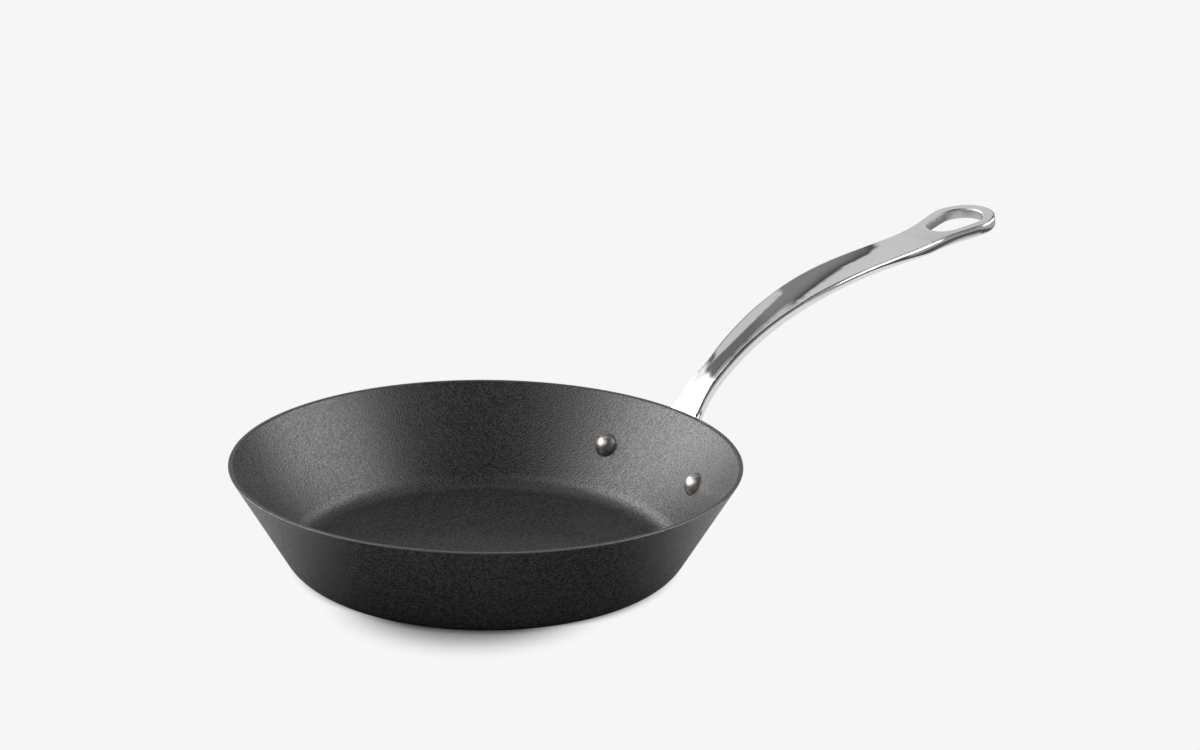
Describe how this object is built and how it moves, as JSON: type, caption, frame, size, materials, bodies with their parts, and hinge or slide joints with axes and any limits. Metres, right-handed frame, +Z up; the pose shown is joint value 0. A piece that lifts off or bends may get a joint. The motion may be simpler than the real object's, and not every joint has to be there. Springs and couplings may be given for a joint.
{
  "type": "omelette pan",
  "caption": "Shallow flared pan for omelettes: a spun steel body with straight sloping sides and a long curved cast handle, riveted on and ending in a hanging loop.",
  "frame": {"origin": "centre of the underside of the flat base, on the surface that the pan stands on", "axes": "+X from the pan towards the end of the handle, +Z up out of the pan, +Y sideways, to the right of someone who holds the handle and faces the pan"},
  "size_m": [0.4512, 0.24, 0.1293],
  "materials": {
    "seasoned_steel": "sheet carbon steel, oven-darkened to a matt charcoal",
    "polished_stainless": "cast stainless steel, mirror polished",
    "rivet_steel": "upset steel rivet, satin from the die"
  },
  "bodies": {
    "root": {"pan_body": "seasoned_steel", "handle": "polished_stainless", "rivet_left": "rivet_steel", "rivet_right": "rivet_steel"}
  },
  "joints": []
}
